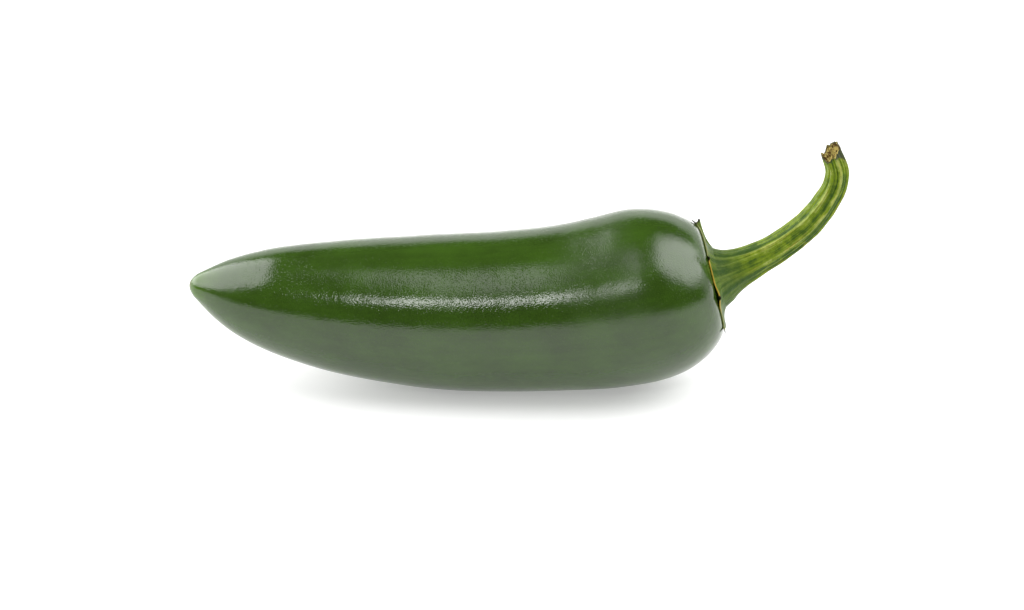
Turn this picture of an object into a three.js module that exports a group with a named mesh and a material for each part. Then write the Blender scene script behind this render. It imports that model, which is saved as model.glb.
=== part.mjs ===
// A whole green chilli pepper of the jalapeño kind, as picked, lying on its belly.
// It is two pieces: the pod, and the stalk that grew in one with the thin calyx over the pod's crown.
// Millimetres, +Z up. X runs along the pod, with the stalk at +X. The origin is on the surface that the
// pepper lies on, under the middle of it. The shape is first laid out round the pod's lowest point.
import * as THREE from "three";

// The pod's spine, from the tip to the crown: [along, across, height].
const podSpine = [
  [-60.8, 0.9, 20.0],
  [-46.0, 0.5, 17.3],
  [-28.0, 0.1, 15.3],
  [-8.0, -0.3, 14.6],
  [12.0, -0.2, 15.7],
  [25.5, 0.0, 18.2],
  [38.1, 0.2, 21.6],
];

// The pod's girth: [distance from the tip along the spine, radius]. The last points are the shallow
// hollow in the crown.
const podProfile = [
  [0.0, 0.0],
  [0.7, 1.7],
  [2.5, 3.2],
  [6.5, 5.9],
  [11.5, 8.3],
  [18.0, 10.4],
  [30.0, 12.8],
  [46.0, 14.6],
  [62.0, 15.3],
  [72.0, 15.7],
  [80.0, 16.3],
  [86.5, 16.5],
  [91.5, 15.8],
  [95.5, 14.2],
  [98.3, 12.3],
  [100.0, 10.5],
  [100.8, 8.5],
  [101.0, 6.4],
  [100.8, 3.6],
  [100.6, 0.0],
];
const podColumns = 56;
const podRowsPerStretch = 3;
const bellyFlatDepth = 0.3; // how deep the flat spot is pressed into the belly

// The pod's lobes: how many there are round it, their share of the radius, and where the first one is.
const podLobes = [
  { count: 2, share: 0.012, turn: 20 },
  { count: 3, share: 0.012, turn: 75 },
];

// The calyx: its teeth in degrees round the crown, from the top towards the front.
const toothTurns = [39, 89, 140, 200, 265, 336];
const calyxRadius = 10.2; // at a tooth's root
const toothLength = 1.0;
const toothLift = 0.4; // how far a tooth's point curls off the pod
const calyxGap = 0.3; // clear of the crown
const calyxThickness = 0.62; // at the rim
const rimLift = 0.6; // how far the rim stands off the crown where it has dried
const rimLiftTurn = 75;
const footRadius = 5.7; // of the stalk's flared foot
const footHeight = 1.2;
const columnsPerTooth = 10;

// The stalk's centre line from the middle of the crown: [along, across, height].
const stalkSpine = [
  [38.1, 0.2, 21.6],
  [41.2, 0.2, 23.0],
  [45.2, 0.1, 25.1],
  [50.3, 0.0, 28.4],
  [55.5, 0.0, 33.2],
  [59.1, 0.1, 38.9],
  [60.1, 0.2, 43.1],
  [58.8, 0.4, 47.2],
];

// The stalk's girth: [share of the way along it, radius].
const stalkProfile = [
  [0.05, 5.3],
  [0.085, 4.5],
  [0.125, 3.9],
  [0.2, 3.3],
  [0.28, 2.9],
  [0.38, 2.65],
  [0.52, 2.5],
  [0.66, 2.35],
  [0.78, 2.15],
  [0.88, 2.02],
  [0.95, 1.9],
  [1.0, 1.75],
];
const stalkRows = 30;
const ribDepth = 0.24; // the stalk's ribs run up from the calyx teeth
const ribTwist = 35; // degrees that the ribs turn along the stalk
const cutSlope = 1.3; // how far the torn end runs along the stalk, either way from its middle
const cutTurn = 45;
const craterDepth = 0.5; // of the torn pith inside the dried skin

const radians = THREE.MathUtils.degToRad;

// A smooth curve through points, each given as up to three numbers.
function curveThrough(points) {
  const vectors = points.map(([x, y, z = 0]) => new THREE.Vector3(x, y, z));
  return new THREE.CatmullRomCurve3(vectors, false, "catmullrom", 0.5);
}

// A curve's point, its direction, and two directions across it: side faces the front, and over faces up
// on a level curve.
function frameAt(curve, share) {
  const along = curve.getTangentAt(share);
  const front = new THREE.Vector3(0, -1, 0);
  const side = front.addScaledVector(along, -front.dot(along)).normalize();
  const over = new THREE.Vector3().crossVectors(side, along);
  return { point: curve.getPointAt(share), along, side, over };
}

// A point at a distance from a frame's axis, turned from over towards side.
function roundAxis(frame, radius, turn) {
  return frame.point
    .clone()
    .addScaledVector(frame.over, radius * Math.cos(turn))
    .addScaledVector(frame.side, radius * Math.sin(turn));
}

// A closed skin over rings of points, with one point at each end.
function skinOver(firstPole, rings, lastPole) {
  const columns = rings[0].length;
  const points = [firstPole, ...rings.flat(), lastPole];
  const at = (row, column) => 1 + row * columns + (column % columns);
  const faces = [];
  const last = rings.length - 1;
  for (let column = 0; column < columns; column++) {
    faces.push(0, at(0, column + 1), at(0, column));
    for (let row = 0; row < last; row++) {
      faces.push(at(row, column), at(row, column + 1), at(row + 1, column + 1));
      faces.push(at(row, column), at(row + 1, column + 1), at(row + 1, column));
    }
    faces.push(at(last, column), at(last, column + 1), points.length - 1);
  }
  const geometry = new THREE.BufferGeometry().setFromPoints(points);
  geometry.setIndex(faces);
  geometry.computeVertexNormals();
  return geometry;
}

const spine = curveThrough(podSpine);
const crownDistance = Math.max(...podProfile.map(([distance]) => distance));

// The profile closes smoothly on the axis, because its neighbours past each end are its mirror image.
const beforeTip = [podProfile[1][0], -podProfile[1][1]];
const pastCrown = [podProfile.at(-2)[0], -podProfile.at(-2)[1]];
const profile = curveThrough([beforeTip, ...podProfile, pastCrown]);

// The profile's point at a place counted in stretches from the tip.
function profileAt(stretch) {
  return profile.getPoint((stretch + 1) / (podProfile.length + 1));
}

// The share by which the lobes push the skin out. They fade where the pod is thin.
function lobeShare(radius, turn) {
  const fade = Math.min(1, radius / 14) ** 2;
  const push = (lobe) =>
    lobe.share * Math.cos(lobe.count * (turn - radians(lobe.turn)));
  return 1 + fade * podLobes.reduce((sum, lobe) => sum + push(lobe), 0);
}

// The pod's skin at a distance from the tip, where it has a radius, at a turn round the spine. The spine
// runs straight on past its ends.
function podPoint(distance, radius, turn) {
  const inside = THREE.MathUtils.clamp(distance, 0, crownDistance);
  const frame = frameAt(spine, inside / crownDistance);
  frame.point.addScaledVector(frame.along, distance - inside);
  return roundAxis(frame, radius * lobeShare(radius, turn), turn);
}

// The pod, with a flat spot where it rests.
function makePod() {
  const rows = (podProfile.length - 1) * podRowsPerStretch;
  const rings = [];
  for (let row = 1; row < rows; row++) {
    const { x: distance, y: radius } = profileAt(row / podRowsPerStretch);
    const ring = [];
    for (let column = 0; column < podColumns; column++) {
      ring.push(podPoint(distance, radius, (column / podColumns) * 2 * Math.PI));
    }
    rings.push(ring);
  }
  const lowest = Math.min(...rings.flat().map((point) => point.z));
  for (const point of rings.flat()) {
    point.z = Math.max(point.z, lowest + bellyFlatDepth);
  }
  const tip = podPoint(podProfile[0][0], 0, 0);
  const crown = podPoint(podProfile.at(-1)[0], 0, 0);
  return skinOver(tip, rings, crown);
}

// How far along the spine the crown's skin lies, at a radius inside the calyx.
function crownReach(radius) {
  const samples = profile
    .getPoints(2000)
    .filter((point) => point.x > crownDistance - 3 && point.y >= 0);
  const inner = samples.findIndex((point) => point.y < radius);
  const [outside, inside] = [samples[inner - 1], samples[inner]];
  const share = (outside.y - radius) / (outside.y - inside.y);
  return THREE.MathUtils.lerp(outside.x, inside.x, share);
}

// The calyx's columns: each has its turn, and its share of the way from one tooth to the next.
function calyxColumns() {
  const columns = [];
  toothTurns.forEach((turn, index) => {
    const next = toothTurns[(index + 1) % toothTurns.length];
    const width = (next - turn + 360) % 360;
    for (let step = 0; step < columnsPerTooth; step++) {
      const share = step / columnsPerTooth;
      columns.push({ turn: radians(turn + share * width), share, width: radians(width) });
    }
  });
  return columns;
}

// The rim runs nearly straight from one tooth's root to the next.
function rimRadius({ share, width }) {
  const straight = Math.cos(width / 2) / Math.cos(width * (share - 0.5));
  return calyxRadius * THREE.MathUtils.lerp(1, straight, 0.6);
}

// The stalk's skin at a share of its way, where it has a radius. The ribs rise out of the foot, and the
// last of the stalk leans over into the slanting torn end.
function stalkPoint(centreLine, column, share, radius) {
  const frame = frameAt(centreLine, share);
  const turn = column.turn + radians(ribTwist) * share;
  const rib = ribDepth * Math.cos(2 * Math.PI * column.share) * Math.min(1, share * 4);
  const point = roundAxis(frame, radius + rib, turn);
  const slant = Math.max(0, (share - 0.8) / 0.2) ** 2;
  const slope = (-cutSlope * radius * Math.cos(turn - radians(cutTurn))) / stalkProfile.at(-1)[1];
  return point.addScaledVector(frame.along, slant * slope);
}

// The stalk with its calyx: up the underside to the rim, back over the top, and along the stalk.
function makeStemAndCalyx() {
  const crown = frameAt(spine, 1);
  const columns = calyxColumns();
  const underside = (column, share) => {
    const tooth = column.share === 0 && share === 1 ? 1 : 0;
    const radius = share * (rimRadius(column) + tooth * toothLength);
    const dried = Math.cos(column.turn - radians(rimLiftTurn));
    const lift = rimLift * Math.max(0, dried) ** 3 * share ** 4;
    const rise = calyxGap + lift + tooth * toothLift;
    return podPoint(crownReach(radius), radius, column.turn).addScaledVector(crown.along, rise);
  };
  const rings = [];
  for (const share of [0.18, 0.36, 0.54, 0.7, 0.84, 0.94, 1]) {
    rings.push(columns.map((column) => underside(column, share)));
  }
  const foot = curveThrough(stalkSpine);
  for (const share of [0, 0.12, 0.35, 0.6, 0.82]) {
    rings.push(
      columns.map((column) => {
        const under = underside(column, 1);
        const inner = roundAxis(crown, footRadius, column.turn);
        const over = under.clone().addScaledVector(crown.along, calyxThickness);
        const target = inner.addScaledVector(crown.along, footHeight);
        const height = share ** 3;
        const flat = over.clone().lerp(target, share);
        const drop = (share - height) * target.clone().sub(over).dot(crown.along);
        return flat.addScaledVector(crown.along, -drop);
      }),
    );
  }
  const girth = curveThrough(stalkProfile);
  for (let row = 0; row <= stalkRows; row++) {
    const { x: share, y: radius } = girth.getPoint(row / stalkRows);
    rings.push(columns.map((column) => stalkPoint(foot, column, Math.min(share, 1), radius)));
  }
  const end = frameAt(foot, 1);
  rings.push(
    columns.map((column) => {
      const point = stalkPoint(foot, column, 1, 0.65 * stalkProfile.at(-1)[1]);
      return point.addScaledVector(end.along, -0.7 * craterDepth);
    }),
  );
  const bottom = podPoint(podProfile.at(-1)[0], 0, 0).addScaledVector(crown.along, calyxGap);
  const crater = end.point.clone().addScaledVector(end.along, -craterDepth);
  return skinOver(bottom, rings, crater);
}

// One finished piece of the pepper.
function piece(name, geometry, color, roughness) {
  const material = new THREE.MeshStandardMaterial({ color, roughness, metalness: 0 });
  const mesh = new THREE.Mesh(geometry, material);
  mesh.name = name;
  return mesh;
}

const chilli = new THREE.Group();
chilli.add(piece("pod", makePod(), 0x3a5c1c, 0.3));
chilli.add(piece("stem_and_calyx", makeStemAndCalyx(), 0x6f8a2c, 0.55));

// The origin goes under the middle of the whole pepper, on the surface that it lies on.
const extent = new THREE.Box3().setFromObject(chilli);
const middle = extent.getCenter(new THREE.Vector3());
chilli.position.set(-middle.x, -middle.y, -extent.min.z);

export default chilli;
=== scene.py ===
import math

import bpy
import numpy as np
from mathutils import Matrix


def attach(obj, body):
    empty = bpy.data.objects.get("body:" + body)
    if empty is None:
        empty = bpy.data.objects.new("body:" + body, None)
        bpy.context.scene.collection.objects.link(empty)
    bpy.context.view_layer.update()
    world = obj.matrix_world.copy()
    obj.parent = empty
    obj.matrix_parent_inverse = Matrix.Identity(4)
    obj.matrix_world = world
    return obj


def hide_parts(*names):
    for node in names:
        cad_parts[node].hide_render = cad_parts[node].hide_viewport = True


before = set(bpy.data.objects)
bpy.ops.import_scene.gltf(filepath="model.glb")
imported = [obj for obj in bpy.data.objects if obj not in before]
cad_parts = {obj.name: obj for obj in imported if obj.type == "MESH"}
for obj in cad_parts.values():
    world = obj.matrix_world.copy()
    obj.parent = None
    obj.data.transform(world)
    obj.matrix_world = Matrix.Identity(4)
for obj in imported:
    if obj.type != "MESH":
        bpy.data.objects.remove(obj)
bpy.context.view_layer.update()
print("frame loaded:", ", ".join(sorted(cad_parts)))

scene = bpy.context.scene
millimetre = 0.001
fromLayout = np.array([-0.765, 0.184, 0.430])  # mm, puts the middle of the box over the origin


def throughPoints(points, count):
    # Uniform Catmull-Rom: each stretch is a cubic through its two points, whose slopes are half the
    # step between their neighbours. The ends run straight on.
    points = np.asarray(points, float)
    padded = np.vstack([2 * points[0] - points[1], points, 2 * points[-1] - points[-2]])
    at = np.linspace(0, len(points) - 1, count)
    i = np.minimum(at.astype(int), len(points) - 2)
    f = (at - i)[:, None]
    a, b, c, d = (padded[i + k] for k in range(4))
    return 0.5 * (2 * b + (c - a) * f + (2 * a - 5 * b + 4 * c - d) * f**2 + (3 * b - a - 3 * c + d) * f**3)


def framesAlong(points, shares, steps=4000):
    # Place, direction, and the directions over and to the front, at shares of the curve's length.
    # Over = front x direction, so over points up on a level curve. Past its ends the curve is straight.
    dense = throughPoints(points, steps)
    walked = np.concatenate([[0], np.cumsum(np.linalg.norm(np.diff(dense, axis=0), axis=1))])
    slope = np.gradient(dense, axis=0)
    shares = np.asarray(shares, float)
    inside = np.clip(shares, 0, 1) * walked[-1]
    place = np.stack([np.interp(inside, walked, dense[:, k]) for k in range(3)], axis=-1)
    along = np.stack([np.interp(inside, walked, slope[:, k]) for k in range(3)], axis=-1)
    along /= np.linalg.norm(along, axis=-1, keepdims=True)
    place = place + along * ((shares - np.clip(shares, 0, 1)) * walked[-1])[..., None]
    front = np.array([0.0, -1.0, 0.0])
    side = front - along * (along @ front)[..., None]
    side /= np.linalg.norm(side, axis=-1, keepdims=True)
    return place, along, np.cross(side, along), side


def smooth(low, high, value):
    # 0 below low, 1 above high, and an S-shaped rise between them
    t = np.clip((value - low) / (high - low), 0, 1)
    return t * t * (3 - 2 * t)


def ripples(seed, waves, *coordinates):
    # A gentle unevenness from -1 to 1: the mean of sine waves with random directions and phases.
    # Each coordinate is an array with the wavelength that it varies over.
    draw = np.random.default_rng(seed)
    steepest = 1.6  # waves to a wavelength
    total = 0
    for _ in range(waves):
        phase = draw.uniform(0, 2 * np.pi)
        for values, wavelength in coordinates:
            phase = phase + values * draw.uniform(-steepest, steepest) * 2 * np.pi / wavelength
        total = total + np.sin(phase)
    return total / waves


def gridFaces(rows, columns):
    # Corners and sizes of the faces of a skin of rings: quads from ring to ring, and triangles to a pole
    # at each end. Point 0 is the first pole, then come the rings, and the last point is the other pole.
    row, column = np.meshgrid(np.arange(rows - 1), np.arange(columns), indexing="ij")
    after = (column + 1) % columns
    here, beside = 1 + row * columns + column, 1 + row * columns + after
    quads = np.stack([here, beside, beside + columns, here + columns], axis=-1).reshape(-1, 4)
    column = np.arange(columns)
    after = (column + 1) % columns
    end = 1 + (rows - 1) * columns
    first = np.stack([np.zeros(columns, int), 1 + after, 1 + column], axis=-1)
    last = np.stack([end + column, end + after, np.full(columns, end + columns)], axis=-1)
    corners = np.concatenate([quads.ravel(), first.ravel(), last.ravel()])
    return corners.astype(np.int32), np.repeat([4, 3], [len(quads), 2 * columns]).astype(np.int32)


def withPoles(values):
    # Values ring by ring as one list, where each pole takes the mean of the ring beside it
    flat = values.reshape(-1, *values.shape[2:])
    return np.concatenate([values[:1].mean(axis=1), flat, values[-1:].mean(axis=1)]).astype(np.float32)


def closedSkin(name, rings, poles, numbers, grown):
    # A closed skin over rings of points, rows x columns x 3 in mm, with a pole at each end. Numbers are
    # named values for the points of the rings, and grown is where each point lies in the pattern.
    rows, columns = rings.shape[:2]
    points = np.vstack([poles[:1], rings.reshape(-1, 3), poles[1:]])
    points = (points + fromLayout) * millimetre
    corners, sizes = gridFaces(rows, columns)
    mesh = bpy.data.meshes.new(name)
    mesh.vertices.add(len(points))
    mesh.vertices.foreach_set("co", points.astype(np.float32).ravel())
    mesh.loops.add(len(corners))
    mesh.loops.foreach_set("vertex_index", corners)
    mesh.polygons.add(len(sizes))
    mesh.polygons.foreach_set("loop_start", np.cumsum(sizes, dtype=np.int32) - sizes)
    mesh.polygons.foreach_set("loop_total", sizes)
    mesh.update(calc_edges=True)
    mesh.polygons.foreach_set("use_smooth", np.ones(len(sizes), bool))
    for key, values in numbers.items():
        values = withPoles(np.broadcast_to(values, (rows, columns)))
        mesh.attributes.new(key, "FLOAT", "POINT").data.foreach_set("value", values)
    vectors = mesh.attributes.new("grown", "FLOAT_VECTOR", "POINT")
    vectors.data.foreach_set("vector", withPoles(grown).ravel())
    mesh.validate()
    piece = bpy.data.objects.new(name, mesh)
    scene.collection.objects.link(piece)
    return piece


podShape = {
    "spine": [(-60.8, 0.9, 20.0), (-46.0, 0.5, 17.3), (-28.0, 0.1, 15.3), (-8.0, -0.3, 14.6),
              (12.0, -0.2, 15.7), (25.5, 0.0, 18.2), (38.1, 0.2, 21.6)],  # mm, tip to crown
    "girth": [(0.0, 0.0), (0.7, 1.7), (2.5, 3.2), (6.5, 5.9), (11.5, 8.3), (18.0, 10.4), (30.0, 12.8),
              (46.0, 14.6), (62.0, 15.3), (72.0, 15.7), (80.0, 16.3), (86.5, 16.5), (91.5, 15.8),
              (95.5, 14.2), (98.3, 12.3), (100.0, 10.5), (100.8, 8.5), (101.0, 6.4), (100.8, 3.6),
              (100.6, 0.0)],  # mm from the tip, and radius
    "lobes": [(2, 0.012, 20), (3, 0.012, 75)],  # how many, share of the radius, where the first is
    "lobeFade": 14,  # mm, the radius below which the lobes fade
    "unevenness": 0.13,  # mm
    "ripples": [(3, 1.0, 34, 3.2), (8, 0.45, 13, 1.5)],  # seed, share, mm along, and reach around
    "waves": 9,  # in each of the ripples
    "evenTip": (1, 9),  # mm from the tip, where the unevenness sets in
    "evenCrown": (0.2, -6),  # mm past the crown, where it ends
    "crownDepth": 4,  # mm, the end of the girth curve that the calyx lies on
    "restSoftness": 0.22,  # mm, how gently the belly turns into the flat spot that it lies on
    "rows": 360,
    "columns": 224,
}


def girthCurve(steps=400):
    # The curve through the girth's points, distance and radius, with steps to each stretch. The points
    # are mirrored in the axis past both ends, so that the curve meets the axis squarely.
    girth = np.array(podShape["girth"])
    mirrored = girth * (1, -1)
    padded = np.vstack([mirrored[1], girth, mirrored[-2]])
    return throughPoints(padded, (len(padded) - 1) * steps + 1)[steps:-steps]


denseGirth = girthCurve()
crownDistance = max(distance for distance, _ in podShape["girth"])


def podSkin(distance, radius, turn):
    # A ring round the spine at each distance: place + radius x (cos turn x over + sin turn x side),
    # where the lobes push the radius out by a share, which fades where the pod is thin
    place, along, over, side = framesAlong(podShape["spine"], distance / crownDistance)
    fade = np.minimum(1, radius / podShape["lobeFade"]) ** 2
    push = sum(share * np.cos(count * (turn - math.radians(first)))
               for count, share, first in podShape["lobes"])
    radius = (radius * (1 + fade * push))[..., None]
    return place + radius * (np.cos(turn)[..., None] * over + np.sin(turn)[..., None] * side)


def makePod():
    # Rings at even steps along the girth curve, each uneven by a few ripples, and pressed level below
    steps = np.linalg.norm(np.diff(denseGirth, axis=0), axis=1)
    walked = np.concatenate([[0], np.cumsum(steps)])
    evenly = np.linspace(0, walked[-1], podShape["rows"] + 2)[1:-1]
    distance = np.interp(evenly, walked, denseGirth[:, 0])
    radius = np.interp(evenly, walked, denseGirth[:, 1])
    turn = np.arange(podShape["columns"]) * 2 * np.pi / podShape["columns"]
    distance, turn = np.meshgrid(distance, turn, indexing="ij")
    radius = np.broadcast_to(radius[:, None], turn.shape)
    over, side = np.cos(turn), np.sin(turn)
    uneven = sum(share * ripples(seed, podShape["waves"], (distance, along), (over, around), (side, around))
                 for seed, share, along, around in podShape["ripples"])
    before, after = (crownDistance + past for past in podShape["evenCrown"])
    fade = smooth(*podShape["evenTip"], distance) * smooth(before, after, distance)
    skin = podSkin(distance, radius + podShape["unevenness"] * uneven * fade, turn)
    level = -fromLayout[2]
    gentle = podShape["restSoftness"]
    skin[..., 2] = level + gentle * np.logaddexp(0, (skin[..., 2] - level) / gentle)
    poles = podSkin(denseGirth[[0, -1], 0], np.zeros(2), np.zeros(2))
    grown = np.stack([radius * over, radius * side, distance], axis=-1)
    return closedSkin("pod_skin", skin, poles, {"fromTip": distance}, grown)


stalkShape = {
    "spine": [(38.1, 0.2, 21.6), (41.2, 0.2, 23.0), (45.2, 0.1, 25.1), (50.3, 0.0, 28.4),
              (55.5, 0.0, 33.2), (59.1, 0.1, 38.9), (60.1, 0.2, 43.1), (58.8, 0.4, 47.2)],  # mm
    "girth": [(0.05, 5.3), (0.085, 4.5), (0.125, 3.9), (0.2, 3.3), (0.28, 2.9), (0.38, 2.65),
              (0.52, 2.5), (0.66, 2.35), (0.78, 2.15), (0.88, 2.02), (0.95, 1.9),
              (1.0, 1.75)],  # share of the spine, and radius
    # Each tooth's degrees from the top towards the front, the rim's radius there, the tooth's length,
    # how far its point curls away from the pod, and half the distance between its points if it has two
    "teeth": [(39, 8.7, 0.15, 0.4, 0), (89, 9.4, 0.1, 0.35, 0), (140, 10.2, 0.9, 0.7, 0),
              (200, 10.2, 0.9, 0.6, 0), (265, 10.0, 0.9, 0.6, 0), (336, 10.4, 1.25, 0.8, 0.4)],
    "toothWidth": 0.7,  # mm, half of it at its root
    "toothHollow": 1.3,  # above 1 its sides curve in
    "toothFrom": 0.86,  # share of the way from the middle to the rim, where the teeth begin to curl
    "forkCurl": 0.8,  # how much more one point of a forked tooth curls than the mean, and the other less
    "rimStraightness": 0.6,  # 0 is a round rim, and 1 runs straight from tooth to tooth
    "gap": 0.06,  # between the calyx and the crown
    "thickness": 0.25,
    "toothThickness": (-0.45, 0.4),  # how much thicker than the rim a plain and a forked tooth's point is
    "rimRoundness": 0.12,  # how far the rim's edge swells out
    "rimLift": 0.5,  # where the dry rim has come away from the crown
    "rimLiftTurn": 87,  # degrees
    "rimLiftNarrowness": 60,  # a higher one keeps the lift to fewer degrees
    "rimSharpness": (12, 14),  # how sharply the rim's colour sets in on the underside, and ends above
    "toothSpread": 0.3,  # a lower one carries the teeth's dark colour further in
    "gold": (30, 116),  # degrees, where the dry golden part of the rim starts and ends
    "goldFades": (0.15, 0.4),  # radians, over which it sets in and ends
    "driedSide": (0.7, -0.75),  # the cosine of the turn off the slant's low side, where green and dry
    "veins": (21, 7, 0.34),  # seed, waves, and reach around
    "veinHeight": 0.09,
    "footRadius": 5.7,
    "footHeight": 1.0,
    "ribs": [(1, 0.75, 0), (2, 0.35, 0.8)],  # how many from tooth to tooth, share of the depth, and phase
    "ribDepth": 0.2,
    "ribContrast": 0.45,  # brings the ribs to between 0 and 1 for the colours
    "ribStart": 2.2,  # the ribs have their full depth from one over this share of the way up
    "ribTwist": 20,  # degrees from the foot to the end
    "wrinkles": [(5, 0.16, 0.42, 1.1), (9, 0.12, 1.1, 0.16)],  # seed, height, reach around and along
    "wrinkleWaves": 12,
    "cutSlope": 1.3,  # mm, the slant of the tear from the middle to the side
    "cutTurn": 45,  # degrees, its low side
    "cutFrom": 0.8,  # share of the way up, where the stalk begins to lean into the slant of the tear
    "craterDepth": 0.55,
    "craterWall": (0.98, 0.75),  # share of the way out, from the edge down to the crater's full depth
    "fibres": (41, 14, 0.3),  # seed, waves, and reach
    "fibreHeight": 0.8,
    "fibreFades": [(0.95, 0.7), (0, 0.3)],  # share of the way out, where fibres fade to the edge and middle
    "fibreContrast": 1.3,
    "pithEdge": (0.97, 0.84),  # share of the way out, over which the skin turns into pith
    "ragged": (31, 8, 0.5),  # seed, waves, and reach around
    "raggedHeight": 0.352,  # how uneven the torn edge is
    "raggedFrom": 0.955,  # share of the way up, where it sets in
    "flapLength": 1.0,
    "flapTurn": -12,  # degrees
    "flapWidth": 0.16,  # radians
    "columnsPerTooth": 46,
    "crowding": 0.72,  # 0 spaces the columns evenly, and 1 draws them all to the teeth
    "underRows": (20, 14),  # up to the share 0.9 of the way out, and closer from there to the rim
    "rimRows": 7,
    "overRows": 35,
    "stalkRows": 170,
    "tornRows": 16,
    "growthLengths": (5.0, 35.0),  # how long the calyx and the stalk are in the pattern of the streaks
}


def crownReach(radius):
    # How far from the tip the crown's skin lies at a radius, read off the end of the girth curve
    near = denseGirth[denseGirth[:, 0] > crownDistance - podShape["crownDepth"]][::-1]
    return np.interp(radius, near[:, 1], near[:, 0])


def stalkColumns():
    # Values for each column of the stalk's grid. A column at an even share of the way to the next tooth
    # stands at share - crowding x sin(2 pi share) / 2 pi, because the outline turns sharply at a tooth.
    # The rim goes from tooth to tooth by share, times how far in a straight line would lie.
    shape = stalkShape
    teeth, radii, lengths, curls, forks = np.array(shape["teeth"], float).T
    each = shape["columnsPerTooth"]
    even = np.tile(np.arange(each) / each, len(teeth))
    share = even - shape["crowding"] * np.sin(2 * np.pi * even) / (2 * np.pi)
    width = np.radians(np.repeat(np.diff(np.append(teeth, teeth[0] + 360)), each))
    turn = np.radians(np.repeat(teeth, each)) + share * width
    straight = np.cos(width / 2) / np.cos(width * (share - 0.5))
    rim = np.repeat(radii, each) * (1 - share) + np.repeat(np.roll(radii, -1), each) * share
    rim = rim * (1 + shape["rimStraightness"] * (straight - 1))
    nearest = (np.repeat(np.arange(len(teeth)), each) + (share > 0.5)) % len(teeth)
    offTooth = np.minimum(share, 1 - share) * width * rim
    fromPoint = np.abs(offTooth - forks[nearest]) / shape["toothWidth"]
    tooth = np.clip(1 - fromPoint, 0, 1) ** shape["toothHollow"]
    forked = forks[nearest] > 0
    uneven = np.where(forked, shape["forkCurl"], 0) * np.where(share > 0.5, 1, -1)
    plainThickness, forkedThickness = shape["toothThickness"]
    lifted = np.maximum(0, np.cos(turn - math.radians(shape["rimLiftTurn"]))) ** shape["rimLiftNarrowness"]
    return {
        "turn": turn,
        "rim": rim,
        "tooth": tooth,
        "reach": tooth * lengths[nearest],
        "curl": tooth * (curls[nearest] * (1 + uneven)),
        "thick": shape["thickness"] * (1 + np.where(forked, forkedThickness, plainThickness) * tooth),
        "lift": shape["rimLift"] * lifted,
        "ribs": sum(depth * np.cos(2 * np.pi * count * share + phase)
                    for count, depth, phase in shape["ribs"]),
    }


def calyxRings(columns):
    # The underside is the crown's own surface, set off along its axis by the gap, from the middle to the
    # rim and the points of the teeth. It lifts with the sixth power of the way out, and curls with the
    # square of the way into a tooth. Half an ellipse leads over the rim. The upper side runs straight in
    # to the foot, dropped by share - share cubed, which hugs the crown near the rim.
    shape = stalkShape
    turn = columns["turn"]
    crownPlace, crownAlong, crownOver, crownSide = (
        part[0] for part in framesAlong(podShape["spine"], np.array([1.0])))
    around = np.cos(turn)[:, None] * crownOver + np.sin(turn)[:, None] * crownSide

    wide, close = shape["underRows"]
    outward = np.concatenate([np.linspace(0.03, 0.9, wide), np.linspace(0.915, 1, close)])[:, None]
    point = smooth(shape["toothFrom"], 1, outward)
    radius = outward * columns["rim"] + columns["reach"] * point
    lift = columns["lift"] * outward**6 + columns["curl"] * point**2
    under = podSkin(crownReach(radius), radius, np.broadcast_to(turn, radius.shape))
    under = under + (shape["gap"] + lift)[..., None] * crownAlong

    edge = np.linspace(0, 1, shape["rimRows"] + 2)[1:-1][:, None, None]
    thick = columns["thick"][:, None]
    swell = shape["rimRoundness"] * np.sin(edge * np.pi)
    rimEdge = under[-1] + edge * thick * crownAlong + swell * around

    rimOver = under[-1] + thick * crownAlong
    foot = crownPlace + shape["footRadius"] * around + shape["footHeight"] * crownAlong
    inward = (np.linspace(0, 1, shape["overRows"] + 1)[:-1] ** 1.15)[:, None, None]
    drop = (inward - inward**3) * ((foot - rimOver) @ crownAlong)[None, :, None]
    seed, waves, reach = shape["veins"]
    veins = ripples(seed, waves, (np.cos(turn), reach), (np.sin(turn), reach))[None, :, None]
    raised = shape["veinHeight"] * veins * np.sin(np.pi * inward)
    over = rimOver + (foot - rimOver) * inward + (raised - drop) * crownAlong
    return under, rimEdge, over


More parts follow.
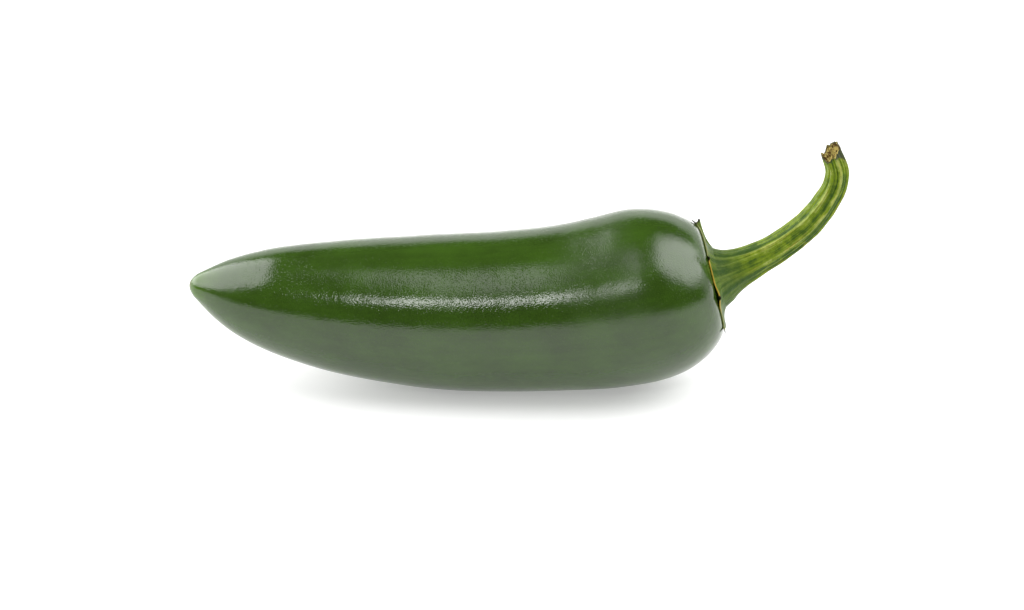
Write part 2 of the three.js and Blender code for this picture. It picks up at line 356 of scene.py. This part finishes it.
def stalkRings(columns, upward, radius):
    # place + (radius + ribs + wrinkles) x (cos turn x over + sin turn x side), where the ribs turn slowly
    # on their way up, plus along x the slant of the tear, its ragged edge and its flap. The slant grows
    # with the radius and with the square of the way up from where it begins.
    shape = stalkShape
    turn = columns["turn"]
    place, along, over, side = framesAlong(shape["spine"], upward)
    upward, radius = upward[:, None], radius[:, None]
    turns = turn + math.radians(shape["ribTwist"]) * upward
    ribs = shape["ribDepth"] * columns["ribs"] * np.minimum(1, upward * shape["ribStart"])
    wrinkles, waves = 0, shape["wrinkleWaves"]
    for seed, height, around, lengthwise in shape["wrinkles"]:
        coordinates = (np.cos(turn), around), (np.sin(turn), around), (upward, lengthwise)
        wrinkles = wrinkles + height * ripples(seed, waves, *coordinates)
    outwards = np.cos(turns)[..., None] * over[:, None] + np.sin(turns)[..., None] * side[:, None]
    points = place[:, None] + (radius + ribs + wrinkles)[..., None] * outwards
    fromEnd = radius / shape["girth"][-1][1]
    slant = -shape["cutSlope"] * fromEnd * np.cos(turns - math.radians(shape["cutTurn"]))
    slant = slant * np.maximum(0, (upward - shape["cutFrom"]) / (1 - shape["cutFrom"])) ** 2
    seed, waves, reach = shape["ragged"]
    ragged = shape["raggedHeight"] * ripples(seed, waves, (np.cos(turn), reach), (np.sin(turn), reach))
    offFlap = (turns - 2 * np.pi - math.radians(shape["flapTurn"])) / shape["flapWidth"]
    edge = ragged + shape["flapLength"] * np.exp(-offFlap**2)
    tear = slant + edge * smooth(shape["raggedFrom"], 1, upward)
    return points + tear[..., None] * along[:, None]


def tornRings(columns):
    # The stalk's last ring drawn in to the middle, where each ring sinks along the stalk by its share of
    # the crater's depth and its fibres stand at different heights. Torn is 1 where the pith shows, and
    # sunk is 1 between its fibres.
    shape = stalkShape
    turn = columns["turn"]
    inner = np.concatenate([[0.93, 0.86], np.linspace(0.8, 0.06, shape["tornRows"])])
    rings = stalkRings(columns, np.ones(len(inner)), inner * shape["girth"][-1][1])
    inner = inner[:, None]
    seed, waves, reach = shape["fibres"]
    fibre = ripples(seed, waves, (inner * np.cos(turn), reach), (inner * np.sin(turn), reach))
    for fade in shape["fibreFades"]:
        fibre = fibre * smooth(*fade, inner)
    fibre = shape["fibreHeight"] * fibre
    sink = shape["craterDepth"] * smooth(*shape["craterWall"], inner)
    along = framesAlong(shape["spine"], np.array([1.0]))[1][0]
    torn = smooth(*shape["pithEdge"], inner)
    sunk = np.clip(0.5 - shape["fibreContrast"] * fibre, 0, 1)
    return rings + (fibre - sink)[..., None] * along, torn, sunk


def makeStalk():
    # Rings from the middle of the calyx's underside out to its rim, back in to the foot, up the stalk
    # and down into the torn end, and for each point what the finish has to know about it
    shape = stalkShape
    columns = stalkColumns()
    turn = columns["turn"]
    under, rimEdge, over = calyxRings(columns)
    line = throughPoints(shape["girth"], shape["stalkRows"])
    shares = np.clip(line[:, 0], 0, 1)
    stalk = stalkRings(columns, shares, line[:, 1])
    crater, torn, sunk = tornRings(columns)

    underRows, edgeRows, overRows, stalkRows, tornRows = map(len, (under, rimEdge, over, stalk, crater))
    upward = np.concatenate([np.full(underRows + edgeRows, -1.0), np.linspace(-1, 0, overRows),
                             shares, np.ones(tornRows)])[:, None]
    below, above = shape["rimSharpness"]
    rim = np.concatenate([np.linspace(0, 1, underRows) ** below, np.ones(edgeRows),
                          np.clip(1 - np.linspace(0, above, overRows), 0, 1),
                          np.zeros(stalkRows + tornRows)])[:, None]
    whole = len(upward) - tornRows
    goldFrom, goldTo = np.radians(shape["gold"])
    goldRise, goldFall = shape["goldFades"]
    offLowSide = turn + math.radians(shape["ribTwist"] - shape["cutTurn"])
    numbers = {
        "upward": upward,  # -1 at the rim, 0 at the foot, 1 at the torn end
        "rib": 0.5 + shape["ribContrast"] * columns["ribs"],
        "rim": rim,
        "tooth": columns["tooth"] * rim ** shape["toothSpread"],
        "torn": np.concatenate([np.zeros((whole, 1)), torn]),
        "dried": smooth(*shape["driedSide"], np.cos(offLowSide)),
        "gold": smooth(goldFrom, goldFrom + goldRise, turn) * smooth(goldTo, goldTo - goldFall, turn),
        "sunk": np.concatenate([np.zeros((whole, len(turn))), sunk]),
    }
    grown = np.broadcast_arrays(
        np.cos(turn), np.sin(turn), np.where(upward < 0, *shape["growthLengths"]) * upward)
    rings = np.concatenate([under, rimEdge, over, stalk, crater])
    poles = np.stack([under[0].mean(axis=0), crater[-1].mean(axis=0)])
    return closedSkin("stalk_skin", rings, poles, numbers, np.stack(grown, axis=-1))


def join(tree, value, socket):
    # Feeds a socket with a node's output, or gives it a value
    if isinstance(value, bpy.types.NodeSocket):
        tree.links.new(value, socket)
    else:
        socket.default_value = value


def addNode(tree, kind, inputs=None, **settings):
    # A node with its settings, and its inputs by name or number
    node = tree.nodes.new(kind)
    for key, value in settings.items():
        setattr(node, key, value)
    for key, value in (inputs or {}).items():
        join(tree, value, node.inputs[key])
    return node


def calculate(tree, operation, *values):
    # One sum, product or the like of outputs and plain values
    return addNode(tree, "ShaderNodeMath", dict(enumerate(values)), operation=operation).outputs[0]


def weigh(tree, *parts, onto=None):
    # Onto, if it is given, plus each value times its weight
    for value, weight in parts:
        if onto is None:
            onto = calculate(tree, "MULTIPLY", value, weight)
        else:
            onto = calculate(tree, "MULTIPLY_ADD", value, weight, onto)
    return onto


def rise(tree, value, low, high, least=0.0, most=1.0):
    # least below low, most above high, and an S-shaped rise between them
    inputs = {"Value": value, "From Min": low, "From Max": high, "To Min": least, "To Max": most}
    return addNode(tree, "ShaderNodeMapRange", inputs, interpolation_type="SMOOTHSTEP").outputs[0]


def blend(tree, first, second, share, strength=1.0):
    # The first colour x (1 - share x strength) + the second x share x strength
    if strength < 1:
        share = calculate(tree, "MULTIPLY", share, strength)
    return addNode(tree, "ShaderNodeMix", {0: share, 6: first, 7: second}, data_type="RGBA").outputs[2]


def paint(red, green, blue):
    # A colour given from 0 to 255 as on a screen, turned into amounts of light
    shares = np.array([red, green, blue]) / 255
    light = np.where(shares > 0.04045, ((shares + 0.055) / 1.055) ** 2.4, shares / 12.92)
    return (*light.tolist(), 1.0)


def attribute(tree, name, kind="Fac"):
    # What the piece's points carry under a name, as a number, or as a vector
    return addNode(tree, "ShaderNodeAttribute", attribute_name=name).outputs[kind]


def newGroup(name, inputs, outputs):
    # A node group with named inputs, given with their starting values, and named outputs
    group = bpy.data.node_groups.new(name, "ShaderNodeTree")
    for key, start in inputs.items():
        kind = "NodeSocketVector" if isinstance(start, tuple) else "NodeSocketFloat"
        socket = group.interface.new_socket(name=key, in_out="INPUT", socket_type=kind)
        socket.default_value = start
    for key in outputs:
        group.interface.new_socket(name=key, in_out="OUTPUT", socket_type="NodeSocketFloat")
    return group, group.nodes.new("NodeGroupInput").outputs, group.nodes.new("NodeGroupOutput").inputs


groupShape = {
    "maskReach": 0.42,  # how far to both sides of the noise's middle a mask without contrast rises
    "maskNarrowing": 0.38,  # how much of that full contrast takes away
    "patchNoise": {"Detail": 5.0, "Roughness": 0.58},
    "streakNoise": {"Detail": 4.0, "Roughness": 0.6},
    "beadSpacing": 2.0,  # in sizes of the grain
    "beadRadius": 0.36,  # in spacings
    "beadHeight": 0.8,  # against the noise's 1
}


def spreadNoise(group, contrast, **inputs):
    # Noise, made to rise from 0 to 1 over the reach to both sides of its middle, where reach is 0.42 less
    # the contrast x 0.38, so that contrast 1 leaves only its middle grey
    noise = addNode(group, "ShaderNodeTexNoise", inputs).outputs[0]
    narrowing = calculate(group, "MULTIPLY", contrast, groupShape["maskNarrowing"])
    reach = calculate(group, "SUBTRACT", groupShape["maskReach"], narrowing)
    low, high = (calculate(group, kind, 0.5, reach) for kind in ("SUBTRACT", "ADD"))
    return rise(group, noise, low, high)


def makePatches():
    # Soft patches of a size in mm
    group, given, out = newGroup("soft_patches", {
        "Place": (0.0, 0.0, 0.0), "Size": 5.0, "Contrast": 0.5}, ["Mask"])
    scale = calculate(group, "DIVIDE", 1.0, given["Size"])
    mask = spreadNoise(group, given["Contrast"], Vector=given["Place"], Scale=scale,
                       **groupShape["patchNoise"])
    join(group, mask, out["Mask"])
    return group


def makeStreaks():
    # Streaks that follow the growth: noise that changes fast around the piece and slowly along it,
    # because the place is multiplied by how many waves a mm holds around and along
    group, given, out = newGroup("growth_streaks", {
        "Place": (0.0, 0.0, 0.0), "Around": 3.0, "Along": 0.1, "Contrast": 0.5}, ["Mask"])
    scale = addNode(group, "ShaderNodeCombineXYZ", {
        0: given["Around"], 1: given["Around"], 2: given["Along"]})
    place = addNode(group, "ShaderNodeVectorMath", {0: given["Place"], 1: scale.outputs[0]},
                    operation="MULTIPLY")
    mask = spreadNoise(group, given["Contrast"], Vector=place.outputs[0], Scale=1.0,
                       **groupShape["streakNoise"])
    join(group, mask, out["Mask"])
    return group


def makeGrain():
    # An even, fine unevenness of a size in mm, plus beads x their height. A small round bead in the
    # middle of each cell of twice that size catches a small light as a dot.
    group, given, out = newGroup("fine_grain", {"Place": (0.0, 0.0, 0.0), "Size": 0.4},
                                 ["Height", "Specks"])
    scale = calculate(group, "DIVIDE", 1.0, given["Size"])
    cellScale = calculate(group, "MULTIPLY", scale, 1 / groupShape["beadSpacing"])
    cells = addNode(group, "ShaderNodeTexVoronoi", {"Vector": given["Place"], "Scale": cellScale})
    noise = addNode(group, "ShaderNodeTexNoise", {
        "Vector": given["Place"], "Scale": scale, "Detail": 0.0})
    bead = rise(group, cells.outputs["Distance"], groupShape["beadRadius"], 0.0)
    join(group, weigh(group, (bead, groupShape["beadHeight"]), onto=noise.outputs[0]), out["Height"])
    join(group, bead, out["Specks"])
    return group


patches, streaks, grain = makePatches(), makeStreaks(), makeGrain()


def useGroup(tree, group, **inputs):
    # A group's outputs for its inputs by name
    return addNode(tree, "ShaderNodeGroup", inputs, node_tree=group).outputs


def newMaterial(name):
    # A new material with its node tree and its shader
    made = bpy.data.materials.new(name)
    made.use_nodes = True
    tree = made.node_tree
    return made, tree, tree.nodes["Principled BSDF"]


def placeInMillimetres(tree):
    # Where a point of the piece lies, in mm
    where = addNode(tree, "ShaderNodeTexCoord")
    return addNode(tree, "ShaderNodeVectorMath", {0: where.outputs["Object"], "Scale": 1 / millimetre},
                   operation="SCALE").outputs[0]


def raiseSurface(tree, shader, height):
    # Lets the light see a height, given in mm
    bump = addNode(tree, "ShaderNodeBump", {"Height": height, "Distance": millimetre})
    join(tree, bump.outputs[0], shader.inputs["Normal"])


podFinish = {
    "colours": {
        "deepGreen": (35, 53, 14),
        "freshGreen": (51, 78, 20),
        "tipGreen": (68, 102, 10),
        "scarBrown": (84, 84, 44),
        "paleSpeck": (92, 116, 54),
    },
    "patches": {"Size": 9.0, "Contrast": 0.35},
    "streaks": {"Around": 0.35, "Along": 0.035, "Contrast": 0.2},
    "bloom": {"Size": 11.0, "Contrast": 0.3},
    "dimples": {"Size": 2.6, "Contrast": 0.1},
    "grain": {"Size": 0.24},
    "patchWeight": 0.55,  # how much the patches and the streaks say about which green shows
    "streakWeight": 0.45,
    "speckStrength": 0.1,
    "tipFade": (9.0, 0.5),  # mm from the tip, over which the skin turns from deep to pale green
    "tipStreaks": 4.0,  # mm, how far the streaks move that edge
    "tipStrength": 0.8,
    "scarFade": (0.55, 0.2),  # mm from the tip, over which its brown scar sets in
    "scarStrength": 0.6,
    "roughness": 0.1,
    "bloomRoughness": 0.06,  # added where the wax has a patchy bloom
    "bandRoughness": 0.1,  # added where the wax is dull all round
    "scarRoughness": 0.4,
    "dullBand": (67, 76, 86, 92),  # mm from the tip, where the wax turns dull, is dull, and clears again
    "refraction": 1.53,
    "grainDepth": 0.018,  # mm
    "dimpleDepth": 0.03,
}


def makePodMaterial():
    # Two greens by patches and streaks, with pale specks, a paler tip and a scar on it. The roughness is
    # the wax's own plus what its bloom, the dull band and the scar add.
    made, tree, shader = newMaterial("waxy_green_skin")
    finish = podFinish
    colours = {key: paint(*value) for key, value in finish["colours"].items()}
    place = placeInMillimetres(tree)
    grown = attribute(tree, "grown", "Vector")
    fromTip = attribute(tree, "fromTip")
    patch = useGroup(tree, patches, Place=place, **finish["patches"])["Mask"]
    streak = useGroup(tree, streaks, Place=grown, **finish["streaks"])["Mask"]
    bloom = useGroup(tree, patches, Place=grown, **finish["bloom"])["Mask"]
    dimples = useGroup(tree, patches, Place=place, **finish["dimples"])["Mask"]
    fine = useGroup(tree, grain, Place=place, **finish["grain"])

    green = weigh(tree, (streak, finish["streakWeight"]), (patch, finish["patchWeight"]))
    tip = rise(tree, weigh(tree, (streak, finish["tipStreaks"]), onto=fromTip), *finish["tipFade"])
    scar = rise(tree, fromTip, *finish["scarFade"])
    colour = blend(tree, colours["deepGreen"], colours["freshGreen"], green)
    colour = blend(tree, colour, colours["paleSpeck"], fine["Specks"], finish["speckStrength"])
    colour = blend(tree, colour, colours["tipGreen"], tip, finish["tipStrength"])
    colour = blend(tree, colour, colours["scarBrown"], scar, finish["scarStrength"])
    join(tree, colour, shader.inputs["Base Color"])

    start, full, fading, end = finish["dullBand"]
    band = calculate(tree, "MULTIPLY", rise(tree, fromTip, start, full), rise(tree, fromTip, end, fading))
    rough = weigh(tree, (bloom, finish["bloomRoughness"]), (band, finish["bandRoughness"]),
                  (scar, finish["scarRoughness"]), onto=finish["roughness"])
    join(tree, rough, shader.inputs["Roughness"])
    shader.inputs["IOR"].default_value = finish["refraction"]
    raiseSurface(tree, shader, weigh(
        tree, (fine["Height"], finish["grainDepth"]), (dimples, finish["dimpleDepth"])))
    return made


stalkFinish = {
    "colours": {
        # the deep green, which the ribs' share also lays into the grooves as painted shade
        "groove": (50, 78, 12),
        "flank": (112, 134, 18),
        # a painted sheen, where the lightness is highest
        "paintedCrestSheen": (164, 174, 88),
        "straw": (168, 150, 62),
        "tan": (134, 118, 48),
        "foot": (44, 72, 18),
        "pale": (112, 130, 54),
        "rimGold": (176, 146, 52),
        "rimGreen": (126, 132, 76),
        "toothBrown": (44, 44, 30),
        "dryGrey": (64, 67, 53),
        # the torn pith's brown, also painted shade in the low places between its fibres
        "pith": (200, 182, 104),
        "pithBrownAndShade": (84, 60, 22),
    },
    "streaks": {"Around": 4.5, "Along": 0.07, "Contrast": 0.55},
    "hairs": {"Around": 14.0, "Along": 0.16, "Contrast": 0.7},
    "patches": {"Size": 2.4, "Contrast": 0.6},
    "mottles": {"Size": 0.7, "Contrast": 0.7},
    "grain": {"Size": 0.3},
    "lightness": (0.28, 0.46, 0.32),  # how much the ribs, the streaks and the patches say about it; the ribs' share is painted light, lighter on the crests and darker in the grooves
    "flankRise": (0.26, 0.68),  # the lightness over which the grooves' colour turns into the flanks'
    "paintedSheenRise": (0.64, 0.94),
    "strawHairs": (0.66, 0.92),  # straw lines show on the strongest hairs
    "strawRibs": (0.4, 0.9),  # and high on the ribs
    "strawStrength": 0.55,
    "mottleStrength": 0.3,
    "tanPatches": (0.5, 1.0),  # tan hairs show in the stronger patches of the dry side
    "tanStrength": 0.7,
    "footFade": (0.24, 0.06),  # share of the way up, over which the stalk turns into its foot
    "footStrength": 0.92,
    "footLightness": (0.3, 0.7),  # how much the mottles and the streaks say about it
    "paleRise": (0.1, 1.1),
    "footShade": (0.45, 0.45),  # how much the mottles darken the foot, and how much darker it turns on its side below and behind
    "rimFade": (0.35, 0.8),
    "toothFade": (0.15, 0.5),
    "collarFade": (0.99, 1.015),  # share of the way up, over which the grey collar sets in
    "collarEdge": (0.02, 0.065),  # how far the mottles and the dry side bring it down
    "collarStrength": 0.9,
    "pithMottles": 0.6,  # how much the mottles add to the brown and the painted shade between the fibres
    "pithRise": (0.55, 1.0),
    "roughRise": (0.2, 1.0),  # the lightness over which the skin turns smoother
    "roughness": (0.5, 0.34),
    "dryRoughness": 0.35,  # added where it is torn or dry
    "shine": 0.16,
    "hairDepth": 0.05,  # mm
    "grainDepth": 0.03,
    "mottleDepth": 0.05,
    "dryMottleDepth": 0.12,  # mm, added where it is torn or dry
}


def makeStalkMaterial():
    # A lightness from the ribs, streaks and patches, x their weights, picks the stalk's colour. Over it
    # come the foot and the calyx, and then all that has dried, each by its own share.
    made, tree, shader = newMaterial("ribbed_stalk_skin")
    finish = stalkFinish
    colours = {key: paint(*value) for key, value in finish["colours"].items()}
    place = placeInMillimetres(tree)
    grown = attribute(tree, "grown", "Vector")
    upward, rib, rim, tooth, torn, dried, gold, sunk = (attribute(tree, name) for name in (
        "upward", "rib", "rim", "tooth", "torn", "dried", "gold", "sunk"))
    streak = useGroup(tree, streaks, Place=grown, **finish["streaks"])["Mask"]
    hair = useGroup(tree, streaks, Place=grown, **finish["hairs"])["Mask"]
    patch = useGroup(tree, patches, Place=place, **finish["patches"])["Mask"]
    mottle = useGroup(tree, patches, Place=place, **finish["mottles"])["Mask"]
    fine = useGroup(tree, grain, Place=place, **finish["grain"])

    # the stalk: deep green in the grooves, yellow-green on the flanks, a pale painted sheen on the crests,
    # straw streaks. Through the ribs' share of the lightness, the crests get a painted highlight and the
    # grooves painted shade
    lightness = weigh(tree, *zip((rib, streak, patch), finish["lightness"]))
    strawLine = calculate(tree, "MULTIPLY", rise(tree, hair, *finish["strawHairs"]),
                          rise(tree, rib, *finish["strawRibs"]))
    tanLine = calculate(tree, "MULTIPLY", rise(tree, patch, *finish["tanPatches"]),
                        calculate(tree, "MULTIPLY", dried, hair))
    colour = blend(tree, colours["groove"], colours["flank"], rise(tree, lightness, *finish["flankRise"]))
    colour = blend(tree, colour, colours["paintedCrestSheen"], rise(tree, lightness, *finish["paintedSheenRise"]))
    colour = blend(tree, colour, colours["straw"], strawLine, finish["strawStrength"])
    colour = blend(tree, colour, colours["groove"], mottle, finish["mottleStrength"])
    colour = blend(tree, colour, colours["tan"], tanLine, finish["tanStrength"])

    # the calyx and the foot: muted green with pale streaks and mottles
    pale = rise(tree, weigh(tree, *zip((mottle, streak), finish["footLightness"])), *finish["paleRise"])
    mottleShade, driedShade = finish["footShade"]
    shade = weigh(tree, (dried, driedShade), (mottle, mottleShade))
    muted = blend(tree, colours["foot"], colours["pale"], pale)
    muted = blend(tree, muted, colours["groove"], shade)
    low = rise(tree, upward, *finish["footFade"])
    colour = blend(tree, colour, muted, low, finish["footStrength"])

    # dry parts: golden rim, dark teeth, grey collar and straw pith, brown with painted shade between its
    # fibres
    edge = blend(tree, colours["rimGreen"], colours["rimGold"], gold)
    nearEnd = weigh(tree, *zip((mottle, dried), finish["collarEdge"]), onto=upward)
    collar = rise(tree, nearEnd, *finish["collarFade"])
    between = rise(tree, weigh(tree, (mottle, finish["pithMottles"]), onto=sunk), *finish["pithRise"])
    fibres = blend(tree, colours["pith"], colours["pithBrownAndShade"], between)
    colour = blend(tree, colour, edge, rise(tree, rim, *finish["rimFade"]))
    colour = blend(tree, colour, colours["toothBrown"], rise(tree, tooth, *finish["toothFade"]))
    colour = blend(tree, colour, colours["dryGrey"], collar, finish["collarStrength"])
    colour = blend(tree, colour, fibres, torn)
    join(tree, colour, shader.inputs["Base Color"])

    rough = rise(tree, lightness, *finish["roughRise"], *finish["roughness"])
    dry = calculate(tree, "MAXIMUM", torn, calculate(tree, "MAXIMUM", collar, tooth))
    join(tree, weigh(tree, (dry, finish["dryRoughness"]), onto=rough), shader.inputs["Roughness"])
    shader.inputs["Specular IOR Level"].default_value = finish["shine"]
    mottleDepth = weigh(tree, (dry, finish["dryMottleDepth"]), onto=finish["mottleDepth"])
    raiseSurface(tree, shader, weigh(
        tree, (fine["Height"], finish["grainDepth"]), (hair, finish["hairDepth"]), (mottle, mottleDepth)))
    return made


pod = makePod()
pod.data.materials.append(makePodMaterial())
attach(pod, "root")
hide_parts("pod")
print("pod made:", len(pod.data.polygons), "faces")

stalk = makeStalk()
stalk.data.materials.append(makeStalkMaterial())
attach(stalk, "root")
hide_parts("stem_and_calyx")
print("stalk made:", len(stalk.data.polygons), "faces")

view = {
    "lens": 100.0,  # mm
    "sensor": 36.0,  # mm wide
    "nearest": 0.01,  # m, from where it sees
    "elevation": 26.0,  # degrees down onto the pepper
    "distance": 0.537,  # m
    "target": (0.0, 0.0, 16.0),  # mm, in the layout
}


def makeCamera():
    # At its distance from the target, straight in front and tilted down by the elevation
    data = bpy.data.cameras.new("camera")
    data.lens = view["lens"]
    data.sensor_width = view["sensor"]
    data.clip_start = view["nearest"]
    camera = bpy.data.objects.new("camera", data)
    scene.collection.objects.link(camera)
    target = (np.array(view["target"]) + fromLayout) * millimetre
    tilt = math.radians(view["elevation"])
    camera.location = target + view["distance"] * np.array([0, -math.cos(tilt), math.sin(tilt)])
    camera.rotation_euler = (math.pi / 2 - tilt, 0, 0)
    scene.camera = camera


table = {
    "halfSize": 3.0,  # m
    "white": (0.75, 0.75, 0.75, 1),
    "roughness": 0.6,
    "glow": 0.36,  # the light that comes up through it
}


def makeTable():
    # A level square under the pepper, white, with a glow
    size = table["halfSize"]
    mesh = bpy.data.meshes.new("table")
    mesh.from_pydata([(-size, -size, 0), (size, -size, 0), (size, size, 0), (-size, size, 0)], [],
                     [(0, 1, 2, 3)])
    top = bpy.data.objects.new("table", mesh)
    scene.collection.objects.link(top)
    made, tree, shader = newMaterial("white_table")
    shader.inputs["Base Color"].default_value = table["white"]
    shader.inputs["Roughness"].default_value = table["roughness"]
    shader.inputs["Emission Color"].default_value = (1, 1, 1, 1)
    shader.inputs["Emission Strength"].default_value = table["glow"]
    mesh.materials.append(made)


# Each light is a rounded softbox far away. Seen from the pepper it stands round degrees from straight
# behind towards its right, up degrees above the table, and turned clockwise. Its size is half its
# width and height over its distance, its edge fades over the share soft, and white is 1 bright.
lamps = {
    "leftBox": {"round": -73, "up": 35, "turn": 10, "size": (0.76, 0.55), "soft": 0.08, "bright": 4.5},
    "rightBox": {"round": 90, "up": 49, "turn": 0, "size": (0.53, 0.53), "soft": 0.4, "bright": 4.8},
    "overhead": {"round": -157, "up": 71, "turn": 29, "size": (0.07, 0.35), "soft": 0.42, "bright": 2.9},
    "frontSpot": {"round": -166, "up": 40, "turn": 0, "size": (0.11, 0.08), "soft": 0.35, "bright": 12},
}
surroundings = {
    "wall": 1.16,  # the white wall behind and beside
    "wallTop": (31, 26),  # degrees up, where it ends
    "wallSides": (0.0, 0.3),  # how far backwards a direction has to point for the wall to set in
    "wallTurn": 0.25,  # how much pointing sideways counts as pointing backwards
    "room": 0.025,
}


boxPower = 3.0  # 2 makes a lamp round, and a higher one makes it squarer


def makeSoftBox():
    # With u and v how far right and up of the middle a direction points, the light is on where
    # (u / width) cubed + (v / height) cubed is below 1, which is a rounded square
    group, given, out = newGroup("soft_box", {
        "Direction": (0.0, 0.0, 1.0), "Middle": (0.0, 0.0, 1.0), "Right": (1.0, 0.0, 0.0),
        "Up": (0.0, 1.0, 0.0), "Width": 0.5, "Height": 0.5, "Soft": 0.1, "Bright": 1.0}, ["Light"])

    def against(key):
        # How far the direction points the way of the box's middle, right or top
        return addNode(group, "ShaderNodeVectorMath", {0: given["Direction"], 1: given[key]},
                       operation="DOT_PRODUCT").outputs["Value"]

    facing = calculate(group, "MAXIMUM", against("Middle"), 0.001)
    u = calculate(group, "DIVIDE", against("Right"), calculate(group, "MULTIPLY", facing, given["Width"]))
    v = calculate(group, "DIVIDE", against("Up"), calculate(group, "MULTIPLY", facing, given["Height"]))
    cubes = (calculate(group, "POWER", calculate(group, "ABSOLUTE", part), boxPower) for part in (u, v))
    off = calculate(group, "POWER", calculate(group, "ADD", *cubes), 1 / boxPower)
    outer, inner = (calculate(group, kind, 1.0, given["Soft"]) for kind in ("ADD", "SUBTRACT"))
    join(group, calculate(group, "MULTIPLY", rise(group, off, outer, inner), given["Bright"]), out["Light"])
    return group


def makeWorld():
    # White seen directly. For light and reflections, a white wall behind and beside, and the softboxes,
    # each with its direction (sin round x cos up, cos round x cos up, sin up).
    world = bpy.data.worlds.new("studio")
    scene.world = world
    world.use_nodes = True
    tree = world.node_tree
    direction = addNode(tree, "ShaderNodeTexCoord").outputs["Generated"]
    parts = addNode(tree, "ShaderNodeSeparateXYZ", {0: direction}).outputs
    top, full = (math.sin(math.radians(angle)) for angle in surroundings["wallTop"])
    sideways = calculate(tree, "ABSOLUTE", parts["X"])
    behind = weigh(tree, (sideways, surroundings["wallTurn"]), onto=parts["Y"])
    wall = calculate(tree, "MULTIPLY", rise(tree, parts["Z"], top, full),
                     rise(tree, behind, *surroundings["wallSides"]))
    light = rise(tree, wall, 0.0, 1.0, surroundings["room"], surroundings["wall"])
    softBox = makeSoftBox()
    for lamp in lamps.values():
        around, up = math.radians(lamp["round"]), math.radians(lamp["up"])
        middle = (math.sin(around) * math.cos(up), math.cos(around) * math.cos(up), math.sin(up))
        level = np.array([math.cos(around), -math.sin(around), 0.0])
        turned = math.radians(lamp["turn"])
        right = math.cos(turned) * level - math.sin(turned) * np.cross(level, middle)
        width, height = lamp["size"]
        lit = useGroup(tree, softBox, Direction=direction, Middle=middle, Right=tuple(right),
                       Up=tuple(np.cross(right, middle)), Width=width, Height=height,
                       Soft=lamp["soft"], Bright=lamp["bright"])["Light"]
        light = calculate(tree, "ADD", light, lit)
    rays = addNode(tree, "ShaderNodeLightPath")
    seen = addNode(tree, "ShaderNodeMix", {0: rays.outputs["Is Camera Ray"], 2: light, 3: 1.0})
    background = tree.nodes["Background"]
    background.inputs["Color"].default_value = (1, 1, 1, 1)
    join(tree, seen.outputs[0], background.inputs["Strength"])


makeCamera()
makeTable()
makeWorld()
scene.view_settings.view_transform = "Standard"
scene.view_settings.look = "None"
print("camera, table and light made")
